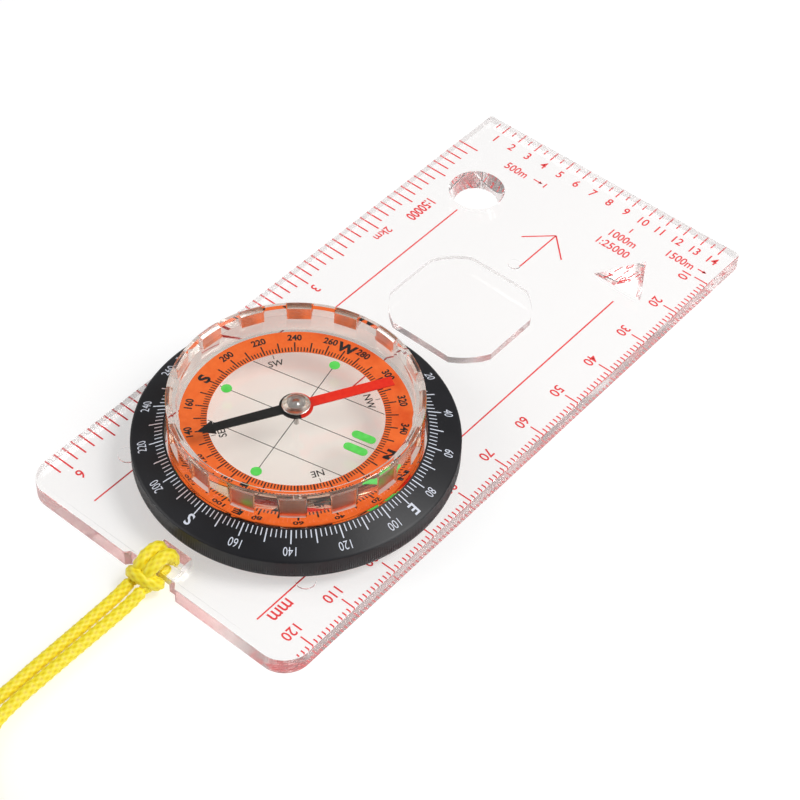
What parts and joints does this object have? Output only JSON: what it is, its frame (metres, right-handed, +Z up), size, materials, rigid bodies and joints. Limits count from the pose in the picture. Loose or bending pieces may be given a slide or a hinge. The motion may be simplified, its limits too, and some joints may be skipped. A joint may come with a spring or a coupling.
{
  "type": "baseplate compass",
  "caption": "Clear ruler baseplate with a magnifier and template holes, a turning degree ring around a liquid-filled capsule with a needle, and a cord lanyard.",
  "frame": {"origin": "centre of the baseplate's underside", "axes": "+Y is the direction of travel, away from the lanyard, +Z is up out of the dial, and +X is the edge with the millimetre scale"},
  "size_m": [0.06, 0.2043, 0.0169],
  "materials": {
    "clear_acrylic": "clear polished acrylic",
    "black_plastic": "satin black moulding",
    "orange_dial": "orange printed band",
    "luminous_green": "green luminous paint",
    "pivot_steel": "ground steel",
    "needle_red": "red paint on steel strip",
    "bright_cap": "bright plated metal",
    "jewel": "polished jewel",
    "yellow_cord": "yellow braided cord"
  },
  "bodies": {
    "plate": {"baseplate": "clear_acrylic", "magnifier_lens": "clear_acrylic", "bezel_retainer": "clear_acrylic", "lanyard_hitch": "yellow_cord", "lanyard_strand_left": "yellow_cord", "lanyard_strand_right": "yellow_cord", "lanyard_coil": "yellow_cord"},
    "bezel": {"bezel_ring": "black_plastic"},
    "capsule": {"capsule_base": "clear_acrylic", "capsule_cover": "clear_acrylic", "capsule_seal": "clear_acrylic", "filler_plug": "clear_acrylic", "meridian_disc": "clear_acrylic", "dial_ring": "orange_dial", "luminous_dot_west": "luminous_green", "luminous_dot_south": "luminous_green", "luminous_dot_east": "luminous_green", "luminous_bar_left": "luminous_green", "luminous_bar_right": "luminous_green", "pivot_pin": "pivot_steel"},
    "needle": {"needle_strip": "needle_red", "needle_cap": "bright_cap", "pivot_jewel": "jewel"}
  },
  "joints": [
    {"name": "bezel_turn", "type": "hinge", "parent": "plate", "child": "bezel", "pos_m": [0, -0.0278, 0.006], "axis": [0, 0, 1], "continuous": true},
    {"name": "capsule_turn", "type": "hinge", "parent": "plate", "child": "capsule", "pos_m": [0, -0.0278, 0.01], "axis": [0, 0, 1], "continuous": true},
    {"name": "needle_swing", "type": "hinge", "parent": "capsule", "child": "needle", "pos_m": [0, -0.0278, 0.0131], "axis": [0, 0, 1], "continuous": true}
  ]
}
